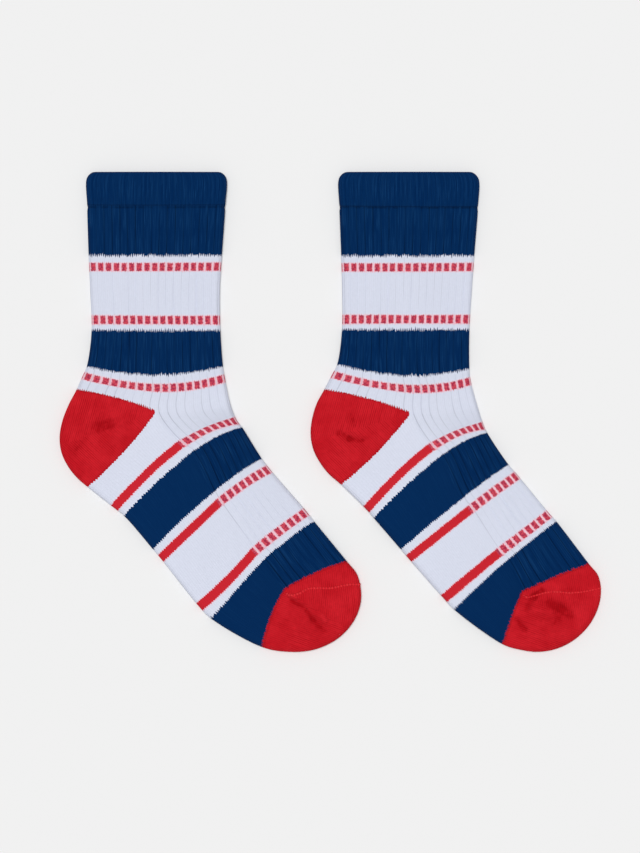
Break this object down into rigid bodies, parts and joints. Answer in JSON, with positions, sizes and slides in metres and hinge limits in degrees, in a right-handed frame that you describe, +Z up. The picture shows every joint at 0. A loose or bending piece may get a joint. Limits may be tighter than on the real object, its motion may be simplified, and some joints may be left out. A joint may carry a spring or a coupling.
{
  "type": "pair of socks",
  "caption": "Pair of children's crew socks lying flat side by side, with turned cuffs, ribbed legs and insteps, striped bands and contrasting heel and toe pockets.",
  "frame": {"origin": "centre of the pair's outline, on the surface that the socks lie on", "axes": "+X to the right across the pair, towards the toes; +Y up the legs, towards the cuffs; +Z up from the surface"},
  "size_m": [0.2713, 0.2404, 0.0072],
  "materials": {
    "navy_knit": "matt cotton knit, deep navy, with a finer rib at the cuff",
    "white_knit": "matt cotton knit, cool white, ribbed, with navy bands and red stripes",
    "red_knit": "matt plain cotton knit, bright red, slightly fuzzy"
  },
  "bodies": {
    "root": {"left_cuff": "navy_knit", "left_leg_and_foot": "white_knit", "left_heel": "red_knit", "left_toe": "red_knit", "right_cuff": "navy_knit", "right_leg_and_foot": "white_knit", "right_heel": "red_knit", "right_toe": "red_knit"}
  },
  "joints": []
}
